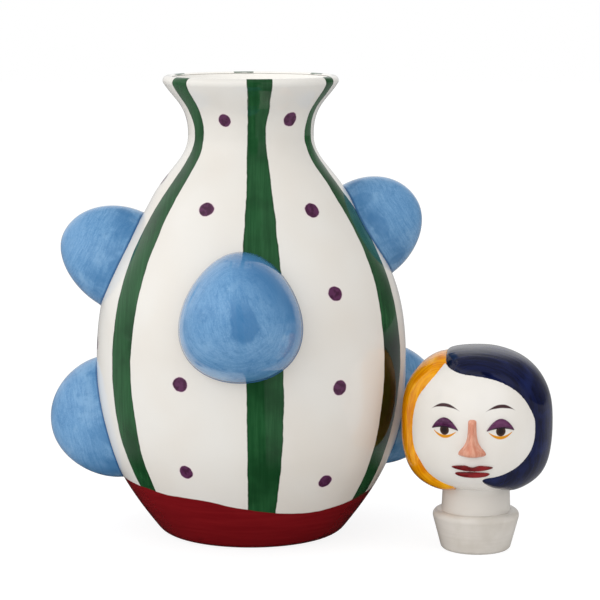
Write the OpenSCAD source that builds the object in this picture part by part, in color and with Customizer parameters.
// Hand-painted stoneware vase with blue domes on its wall, and its head-shaped stopper set down beside it.
// +Z is up, the origin is the middle of the foot, and the painted front faces -Y. Azimuth runs from -Y to +X.

/* [Vase body] */
// Height of the vase to the top of its lip
vase_h = 300; // [292:1:330]
// Radius of the wall just above the foot
foot_r = 59.8; // [56:0.2:64]
// Radius of the widest ring of the belly
belly_r = 101.6; // [94:0.2:110]
// Height of the widest ring of the belly
belly_z = 112; // [95:1:125]
// Radius of the shoulder, where the wall stops closing in
shoulder_r = 66; // [60:0.5:72]
// Height of that shoulder ring
shoulder_z = 218; // [205:1:228]
// Radius of the throat
throat_r = 40.8; // [37:0.2:48]
// Height of the throat
throat_z = 262; // [252:1:270]
// Outer radius of the lip
lip_r = 57; // [52:0.5:66]
// Thickness of the cast wall
wall = 6.5; // [4:0.25:8]
// Length of the straight land inside the throat
land_len = 14; // [8:1:20]

/* [Foot] */
// Height of the hollow under the floor
recess_h = 3; // [1.5:0.25:5]
// Radius of that hollow at its ceiling
recess_r = 43; // [30:0.5:44]
// Thickness of the floor
floor_t = 7.5; // [5:0.25:12]
// Radius of the bend from the floor to the wall
floor_bend = 12; // [4:0.5:16]
// Radius of the rounded edge of the foot
foot_edge = 8; // [2:0.25:8.5]

/* [Domes] */
// Width of the upper domes where they meet the wall
upper_dome_w = 64; // [52:0.5:68]
// Height of the upper domes where they meet the wall
upper_dome_h = 69; // [56:0.5:74]
// How far the upper domes stand out from the wall
upper_dome_out = 39.5; // [24:0.5:46]
// Width of the front and back domes where they meet the wall
middle_dome_w = 78; // [60:0.5:82]
// Height of the front and back domes where they meet the wall
middle_dome_h = 81; // [64:0.5:86]
// How far the front and back domes stand out from the wall
middle_dome_out = 40; // [24:0.5:46]
// Width of the lower domes where they meet the wall
lower_dome_w = 78; // [60:0.5:82]
// Height of the lower domes where they meet the wall
lower_dome_h = 81.5; // [64:0.5:88]
// How far the lower domes stand out from the wall
lower_dome_out = 36; // [24:0.5:44]
// Thickness of a dome's wall
dome_wall = 5; // [3:0.25:7]
// Width of the air hole behind a dome
vent_d = 5; // [3:0.25:8]
// Height of the front dome
front_z = 155; // [140:1:165]
// Height of the left upper dome
left_upper_z = 179; // [168:1:188]
// Height of the left lower dome
left_lower_z = 74; // [65:1:84]
// Height of the right upper dome
right_upper_z = 197; // [188:1:204]
// Height of the right lower dome
right_lower_z = 78; // [72:1:94]
// Height of the back dome
back_z = 155; // [140:1:165]
// Azimuth of the front dome, in degrees
front_azimuth = -3; // [-10:1:5]
// Azimuth of the left upper dome, in degrees
left_upper_azimuth = -95; // [-100:1:-88]
// Azimuth of the left lower dome, in degrees
left_lower_azimuth = -95; // [-108:1:-88]
// Azimuth of the right upper dome, in degrees
right_upper_azimuth = 104; // [90:1:108]
// Azimuth of the right lower dome, in degrees
right_lower_azimuth = 110; // [100:1:120]
// Azimuth of the back dome, in degrees
back_azimuth = 180; // [172:1:188]

/* [Stopper] */
// Clearance between the widest ring of the belly and the widest ring of the stopper beside it
stopper_gap = 4.2; // [2:0.2:60]
// Azimuth at which the stopper stands beside the vase, in degrees
stopper_azimuth = 70; // [60:1:80]
// Turn of the head to the left, in degrees
head_turn = 8; // [0:1:20]
// Radius of the plug at its wide shoulder
plug_r = 27.6; // [24:0.2:32]
// Radius of the plug's underside
plug_foot_r = 22.6; // [19:0.2:24]
// Height of the plug
plug_h = 25.5; // [18:0.5:32]
// Radius of the plug's rounded shoulder
plug_shoulder = 3.6; // [2:0.2:5]
// Radius of the pour hole up through the plug
pour_r = 12; // [6:0.5:14]
// Radius of the neck under the head
neck_r = 21.3; // [19:0.1:24]
// Radius of the neck where it meets the plug
neck_foot_r = 22; // [19:0.1:24]
// Thickness of the stopper's cast wall
stopper_wall = 5; // [3:0.25:6.5]
// Radius of the bare head
head_r = 45.2; // [42:0.2:50]
// Half the height of the bare head
head_half_h = 42.6; // [40:0.2:48]
// Height of the middle of the head
head_z = 85.6; // [78:0.2:92]
// Thickness of the hair
hair_t = 3; // [1.5:0.1:4]

/* [Face] */
// Width of the nose across its wings
nose_w = 17; // [12:0.5:20]
// Length of the nose
nose_len = 24; // [18:0.5:28]
// How far the tip of the nose stands out
nose_out = 8; // [4:0.25:11]
// Width of the mouth
mouth_w = 26; // [18:0.5:30]
// Thickness of the lips
lip_t = 1.8; // [1:0.1:2.6]
// Height of each lip at its middle
lip_h = 4.2; // [2.5:0.1:5.5]
// Width of an eye
eye_w = 18; // [13:0.5:19]
// Height of an eyelid at its middle
lid_h = 5; // [3:0.1:6.5]
// Thickness of an eyelid
lid_t = 1.4; // [0.8:0.1:2]

/* [Hidden] */

white_glaze = [0.93, 0.915, 0.89];
blue_glaze = [0.36, 0.55, 0.79];
amber_glaze = [0.93, 0.62, 0.08];
navy_glaze = [0.10, 0.12, 0.27];
pink_glaze = [0.91, 0.63, 0.54];
red_glaze = [0.48, 0.07, 0.11];
purple_glaze = [0.36, 0.16, 0.32];

// Joint of slip left between two luted pieces, and step over which the wall's slope is read
lute = 0.12;
slope_step = 1;

// Headings of the vase's outline, in degrees up from level, and how strongly each station pulls the curve
foot_heading = 48.5;
shoulder_heading = 117;
lip_heading = 57.7;
foot_pull_share = 1.36;
belly_below_pull_share = 1.12;
belly_above_pull_share = 1.73;
shoulder_below_pull_share = 1.15;
shoulder_above_pull_share = 1.70;
throat_below_pull_share = 1.13;
throat_above_pull_share = 1.68;
lip_pull_share = 1.17;

function heading(angle) = [cos(angle), sin(angle)];

// Points of a smooth stretch from p towards q, without q itself
function stretch(p, q, p_pull, q_pull, steps) = [
    for (i = [0:steps - 1])
        let (t = i / steps, t2 = t * t, t3 = t2 * t)
            (2 * t3 - 3 * t2 + 1) * p + (t3 - 2 * t2 + t) * p_pull
                + (3 * t2 - 2 * t3) * q + (t3 - t2) * q_pull
];

// Points of an arc, both ends included
function arc(centre, radius, from, to, steps) = [
    for (i = [0:steps]) centre + radius * heading(from + (to - from) * i / steps)
];

function unit(v) = v / norm(v);

// Right-hand normal of an open outline at point i
function side(points, i) =
    let (
        a = points[max(i - 1, 0)],
        b = points[min(i + 1, len(points) - 1)],
        d = unit(b - a)
    ) [d[1], -d[0]];

function inset(points, depth) = [for (i = [0:len(points) - 1]) points[i] - depth * side(points, i)];

function reversed(points) = [for (i = [len(points) - 1:-1:0]) points[i]];

// Outline of the vase, from the foot up to the start of the lip
lip_round = wall / 2;
lip_centre = [lip_r - lip_round, vase_h - lip_round];
lip_start = lip_centre + lip_round * heading(lip_heading - 90);
foot_centre = [foot_r - foot_edge * cos(foot_heading - 90), foot_edge];
foot_point = foot_centre + foot_edge * heading(foot_heading - 90);
belly_point = [belly_r, belly_z];
shoulder_point = [shoulder_r, shoulder_z];
throat_point = [throat_r, throat_z];
lower_rise = belly_z;
upper_rise = shoulder_z - belly_z;
neck_rise = throat_z - shoulder_z;
lip_rise = lip_start[1] - throat_z;

outer_wall = concat(
    stretch(foot_point, belly_point, heading(foot_heading) * foot_pull_share * lower_rise,
        heading(90) * belly_below_pull_share * lower_rise, 14),
    stretch(belly_point, shoulder_point, heading(90) * belly_above_pull_share * upper_rise,
        heading(shoulder_heading) * shoulder_below_pull_share * upper_rise, 12),
    stretch(shoulder_point, throat_point, heading(shoulder_heading) * shoulder_above_pull_share * neck_rise,
        heading(90) * throat_below_pull_share * neck_rise, 9),
    stretch(throat_point, lip_start, heading(90) * throat_above_pull_share * lip_rise,
        heading(lip_heading) * lip_pull_share * lip_rise, 9),
    [lip_start]
);

// Inside of the wall, with the straight land in the throat and the bend down to the floor
bore_r = throat_r - wall;
floor_z = recess_h + floor_t;
inner_wall = inset(outer_wall, wall);
inner_table = [for (p = inner_wall) [p[1], p[0]]];
bend_r = lookup(floor_z + floor_bend, inner_table);
land_low = throat_z - land_len / 2;
land_high = throat_z + land_len / 2;
inner_outline = concat(
    [for (p = reversed(inner_wall)) if (p[1] > land_high + wall / 4 && p[0] > bore_r) p],
    [[bore_r, land_high], [bore_r, land_low]],
    [for (p = reversed(inner_wall)) if (p[1] < land_low - wall / 4 && p[1] > floor_z + floor_bend) p],
    arc([bend_r - floor_bend, floor_z + floor_bend], floor_bend, 0, -90, 6)
);

vase_outline = concat(
    [[0, recess_h], [recess_r, recess_h], [recess_r + recess_h, 0]],
    arc(foot_centre, foot_edge, -90, foot_heading - 90, 4),
    [for (i = [1:len(outer_wall) - 1]) outer_wall[i]],
    [for (i = [1:7]) lip_centre + lip_round * heading(lip_heading - 90 + 180 * i / 8)],
    inner_outline,
    [[0, floor_z]]
);

outer_table = [for (p = outer_wall) [p[1], p[0]]];
function wall_r(z) = lookup(z, outer_table);
function wall_tilt(z) = atan2(wall_r(z - slope_step) - wall_r(z + slope_step), 2 * slope_step);

// A point on the vase's wall, or lifted off it
function on_wall(azimuth, z, lift = 0) =
    let (r = wall_r(z) + lift * cos(wall_tilt(z)))
        [r * sin(azimuth), -r * cos(azimuth), z + lift * sin(wall_tilt(z))];

function wall_normal(azimuth, z) =
    let (t = wall_tilt(z)) [cos(t) * sin(azimuth), -cos(t) * cos(azimuth), sin(t)];

// Egg outline of a dome, narrower at the top, as the distance across and up the wall from its middle
egg_share = 0.2;
function egg(angle, size) = [
    size[0] / 2 * cos(angle) * (1 - egg_share * sin(angle)),
    size[1] / 2 * sin(angle)
];

dome_sectors = 36;
dome_rings = 9;
hollow_rings = 5;
degrees_per_unit = 180 / PI;

// A point of the outline laid on the wall
function dome_root(azimuth, z, angle, size) =
    let (
        e = egg(angle, size),
        root_z = z + e[1] * cos(wall_tilt(z)),
        root_azimuth = azimuth + e[0] / wall_r(root_z) * degrees_per_unit
    ) on_wall(root_azimuth, root_z, lute);

// A ring of the dome: it draws in and flattens from the outline on the curved wall up to a round top
function dome_ring(azimuth, z, size, rise) =
    let (middle = on_wall(azimuth, z), out = wall_normal(azimuth, z))
        [for (s = [0:dome_sectors - 1])
            let (
                root = dome_root(azimuth, z, s * 360 / dome_sectors, size) - middle,
                depth = root * out
            ) middle + (root - depth * out) * cos(rise)
                + out * (depth * pow(cos(rise), 2) + size[2] * sin(rise))];

// Triangles between two rings of the same count, the first ring starting at point a and the next at b
function band(a, b, count) = [
    for (s = [0:count - 1])
        let (n = (s + 1) % count)
            each [[a + s, b + s, a + n], [a + n, b + s, b + n]]
];
function fan(a, tip, count) = [for (s = [0:count - 1]) [a + s, tip, a + (s + 1) % count]];
function flipped(faces) = [for (f = faces) [f[0], f[2], f[1]]];

// A hollow dome seated on the wall; size is its width, its height and how far it stands out
module dome(azimuth, z, size) {
    hollow = size - dome_wall * [2, 2, 1];
    outer = [for (i = [0:dome_rings - 1]) each dome_ring(azimuth, z, size, 90 * i / dome_rings)];
    inner = [for (i = [0:hollow_rings - 1]) each dome_ring(azimuth, z, hollow, 90 * i / hollow_rings)];
    tips = [on_wall(azimuth, z, size[2]), on_wall(azimuth, z, hollow[2])];
    first_inner = len(outer);
    first_tip = len(outer) + len(inner);
    polyhedron(
        points = concat(outer, inner, tips),
        faces = concat(
            [for (i = [0:dome_rings - 2]) each band(i * dome_sectors, (i + 1) * dome_sectors, dome_sectors)],
            fan((dome_rings - 1) * dome_sectors, first_tip, dome_sectors),
            flipped([
                for (i = [0:hollow_rings - 2])
                    let (a = first_inner + i * dome_sectors)
                        each band(a, a + dome_sectors, dome_sectors)
            ]),
            flipped(fan(first_inner + (hollow_rings - 1) * dome_sectors, first_tip + 1, dome_sectors)),
            band(first_inner, 0, dome_sectors)
        ),
        convexity = 4
    );
}

// Air hole from the inside of the vase through its wall into the hollow behind a dome
module vent(azimuth, z) {
    translate([0, 0, z])
        rotate([90, 0, azimuth])
            cylinder(d = vent_d, h = wall_r(z) + wall, $fn = 24);
}

module vase_body() {
    color(white_glaze)
        difference() {
            rotate_extrude($fn = 96) polygon(vase_outline);
            vent(front_azimuth, front_z);
            vent(left_upper_azimuth, left_upper_z);
            vent(left_lower_azimuth, left_lower_z);
            vent(right_upper_azimuth, right_upper_z);
            vent(right_lower_azimuth, right_lower_z);
            vent(back_azimuth, back_z);
        }
}

upper_dome = [upper_dome_w, upper_dome_h, upper_dome_out];
middle_dome = [middle_dome_w, middle_dome_h, middle_dome_out];
lower_dome = [lower_dome_w, lower_dome_h, lower_dome_out];
module knob_front() { color(blue_glaze) dome(front_azimuth, front_z, middle_dome); }
module knob_left_upper() { color(blue_glaze) dome(left_upper_azimuth, left_upper_z, upper_dome); }
module knob_left_lower() { color(blue_glaze) dome(left_lower_azimuth, left_lower_z, lower_dome); }
module knob_right_upper() { color(blue_glaze) dome(right_upper_azimuth, right_upper_z, upper_dome); }
module knob_right_lower() { color(blue_glaze) dome(right_lower_azimuth, right_lower_z, lower_dome); }
module knob_back() { color(blue_glaze) dome(back_azimuth, back_z, middle_dome); }

// The stopper stands on its plug beside the belly, on the same surface as the vase
stopper_reach = belly_r + stopper_gap + hair_t + head_r;
module at_stopper() {
    translate([stopper_reach * sin(stopper_azimuth), -stopper_reach * cos(stopper_azimuth), 0])
        rotate([0, 0, -head_turn])
            children();
}

// Roundness of the crown and of the jaw: 2 is an ellipse, more is fuller
crown_power = 2.35;
jaw_power = 3.1;
head_steps = 16;
least_turn = 1;

// Outline of the head, grown or shrunk by lift, from its lower angle up to the crown
function head_point(angle, lift) =
    let (power = angle < 0 ? jaw_power : crown_power)
        [
            (head_r + lift) * pow(max(cos(angle), 0), 2 / power),
            head_z + sign(angle) * (head_half_h + lift) * pow(abs(sin(angle)), 2 / power)
        ];

// Lower angle at which that outline is as far out as a given radius
function head_low(radius, lift) = -acos(pow(radius / (head_r + lift), jaw_power / 2));

function head_outline(radius, lift) =
    let (low = head_low(radius, lift))
        [for (i = [0:head_steps]) head_point(low + (90 - low) * i / head_steps, lift)];

// Outline laid on the bare head from a given radius upwards, bending where the head bends
function over_head(radius, lift) =
    let (low = head_low(radius, lift), neck_low = head_low(neck_r, 0))
        concat(
            [head_point(low, lift)],
            [
                for (i = [1:head_steps])
                    let (angle = neck_low + (90 - neck_low) * i / head_steps)
                        if (angle > low + least_turn) head_point(angle, lift)
            ]
        );

module plug_collar() {
    taper = unit([plug_r - plug_foot_r, plug_h - plug_shoulder]);
    lean = atan2(taper[0], taper[1]);
    foot_round = plug_shoulder / 2;
    outline = concat(
        [[pour_r, 0]],
        arc([plug_foot_r - foot_round, foot_round], foot_round, -90, -lean, 4),
        arc([plug_r - plug_shoulder, plug_h - plug_shoulder], plug_shoulder, -lean, 90, 6),
        [[pour_r, plug_h]]
    );
    color(white_glaze) at_stopper() rotate_extrude($fn = 72) polygon(outline);
}

module stopper_head() {
    bare = head_outline(neck_r, 0);
    hollow = head_outline(neck_r - stopper_wall, -stopper_wall);
    outline = concat(
        [[neck_r - stopper_wall, plug_h], [neck_foot_r, plug_h]],
        bare,
        reversed(hollow)
    );
    color(white_glaze) at_stopper() rotate_extrude($fn = 72) polygon(outline);
}

// Edge of the hair round the face, across and up from the middle of the head, in half widths and half heights
face_edge_shares = [
    [-0.42, 0.90], [-0.26, 0.81], [0.07, 0.755], [0.31, 0.69], [0.64, 0.46], [0.77, 0.26], [0.83, 0.04],
    [0.835, -0.20], [0.775, -0.43], [0.66, -0.60], [0.48, -0.73], [0.12, -0.83], [0.24, -0.92], [0.36, -1.2],
    [-0.29, -1.2], [-0.29, -0.92], [-0.53, -0.85], [-0.70, -0.71], [-0.82, -0.50], [-0.875, -0.24],
    [-0.88, 0], [-0.79, 0.39],
    [-0.64, 0.61]
];
// Corners of that edge that stay sharp: the parting, the tips of the locks and the ends below the chin
face_corners = [0, 11, 12, 13, 14, 15];
function is_corner(i) = len(search(i, face_corners)) > 0;
function edge_point(i) =
    let (p = face_edge_shares[(i + len(face_edge_shares)) % len(face_edge_shares)])
        [p[0] * head_r, head_z + p[1] * head_half_h];
function edge_pull(i) =
    is_corner(i % len(face_edge_shares)) ? [0, 0] : (edge_point(i + 1) - edge_point(i - 1)) / 2;
face_opening = [
    for (i = [0:len(face_edge_shares) - 1])
        each stretch(edge_point(i), edge_point(i + 1), edge_pull(i), edge_pull(i + 1), 4)
];

// The hair ends in a rim under the jaw, at this share of the head's radius
rim_share = 0.74;
module hair_cap() {
    rim_r = head_r * rim_share;
    difference() {
        rotate_extrude($fn = 72)
            polygon(concat(head_outline(rim_r, hair_t), reversed(over_head(rim_r, lute))));
        rotate([90, 0, 0]) linear_extrude(height = 2 * head_r) polygon(face_opening);
    }
}

// The parting leans from the crown down to the middle of the nape
parting_x = edge_point(0)[0];
parting_lean = 7;
seam = 0.3;
module beside_parting(direction) {
    reach = 3 * head_r;
    translate([parting_x, 0, edge_point(0)[1]])
        rotate([0, -parting_lean, 0])
            translate([direction * (reach + seam) / 2, 0, 0])
                cube([reach, reach, 2 * reach], center = true);
}

module hair_amber() {
    color(amber_glaze) at_stopper() intersection() {
        hair_cap();
        beside_parting(-1);
    }
}

module hair_navy() {
    color(navy_glaze) at_stopper() intersection() {
        hair_cap();
        beside_parting(1);
    }
}

// Outline of the bare head as radius against height, for the pieces that sit on the face
face_table = [for (p = head_outline(neck_r, 0)) [p[1], p[0]]];
function face_r(z) = lookup(z, face_table);
function on_face(x, z, lift) =
    let (r = face_r(z) + lift, a = x / face_r(z) * degrees_per_unit) [r * sin(a), -r * cos(a), z];

// A modelled relief on the face: rows of [across, height, lift], closed by a back that fits the head
module relief(rows) {
    n = len(rows[0]);
    m = len(rows);
    front = [for (row = rows, p = row) on_face(p[0], p[1], p[2])];
    back = [for (row = rows, p = row) on_face(p[0], p[1], lute)];
    k = n * m;
    front_faces = [
        for (i = [0:m - 2], j = [0:n - 2])
            let (a = i * n + j, b = a + 1, c = a + n, d = c + 1)
                each [[a, b, c], [b, d, c]]
    ];
    rim = concat(
        [for (j = [0:n - 2]) j],
        [for (i = [0:m - 2]) i * n + n - 1],
        [for (j = [n - 1:-1:1]) (m - 1) * n + j],
        [for (i = [m - 1:-1:1]) i * n]
    );
    rim_faces = [
        for (i = [0:len(rim) - 1])
            let (a = rim[i], b = rim[(i + 1) % len(rim)])
                each [[a, a + k, b], [b, a + k, b + k]]
    ];
    back_faces = [for (f = front_faces) [f[0] + k, f[2] + k, f[1] + k]];
    polyhedron(
        points = concat(front, back),
        faces = concat(front_faces, rim_faces, back_faces),
        convexity = 4
    );
}

// Feathered edge that every relief keeps
edge_t = 0.5;

// The eyes lie level with the middle of the head
eye_z = head_z;

// The nose: rows from the brow down, as shares of its length, half width and height
brow_share = 0.3;
nose_top_z = eye_z + brow_share * nose_len;
nose_share = [[0, 0.30, 0.10], [0.15, 0.30, 0.32], [0.35, 0.33, 0.50], [0.55, 0.42, 0.68], [0.72, 0.66, 0.88],
    [0.84, 0.94, 1.0], [0.93, 1.0, 0.86], [1.0, 0.70, 0.30]];
nose_columns = 10;
ridge_power = 1.3;
module nose() {
    color(pink_glaze) at_stopper() relief([
        for (s = nose_share)
            [for (j = [0:nose_columns])
                let (u = 2 * j / nose_columns - 1)
                    [u * s[1] * nose_w / 2, nose_top_z - s[0] * nose_len,
                        edge_t + s[2] * nose_out * pow(cos(90 * u), ridge_power)]]
    ]);
}

// A crescent across the face between two curves of height against the way across, u from -1 to 1
crescent_columns = 14;
crescent_rows = 6;
function crescent(middle, z, width, low, high, thick) = [
    for (i = [0:crescent_rows])
        [for (j = [0:crescent_columns])
            let (u = 2 * j / crescent_columns - 1, v = 1 - i / crescent_rows)
                [middle + u * width / 2, z + low(u) + (high(u) - low(u)) * v,
                    edge_t + thick * sin(180 * v) * cos(90 * u)]]
];

mouth_share = 0.6;
mouth_z = head_z - head_half_h * mouth_share;
tip_share = 0.08;
bow_depth_share = 0.35;
bow_half_share = 0.24;
lower_lip_share = 0.84;
module upper_lip() {
    color(red_glaze) at_stopper() relief(crescent(0, mouth_z + edge_t / 2, mouth_w,
        function(u) 0,
        function(u) lip_h * (tip_share
            + (1 - u * u) * (1 - bow_depth_share * exp(-pow(u / bow_half_share, 2)))),
        lip_t));
}

module lower_lip() {
    color(red_glaze) at_stopper() relief(crescent(0, mouth_z - edge_t / 2, mouth_w * lower_lip_share,
        function(u) -lip_h * (tip_share + 1 - u * u),
        function(u) 0, lip_t));
}

// Eyelids, one eye's width apart
lid_low_share = 0.45;
lid_high_share = 1.45;
module eyelid(middle) {
    color(purple_glaze) at_stopper() relief(crescent(middle, eye_z, eye_w,
        function(u) lid_h * lid_low_share * (1 - u * u),
        function(u) lid_h * (tip_share + lid_high_share * (1 - u * u)), lid_t));
}
module left_eyelid() { eyelid(-eye_w); }
module right_eyelid() { eyelid(eye_w); }

vase_body();
knob_front();
knob_left_upper();
knob_left_lower();
knob_right_upper();
knob_right_lower();
knob_back();
stopper_head();
plug_collar();
hair_amber();
hair_navy();
nose();
upper_lip();
lower_lip();
left_eyelid();
right_eyelid();
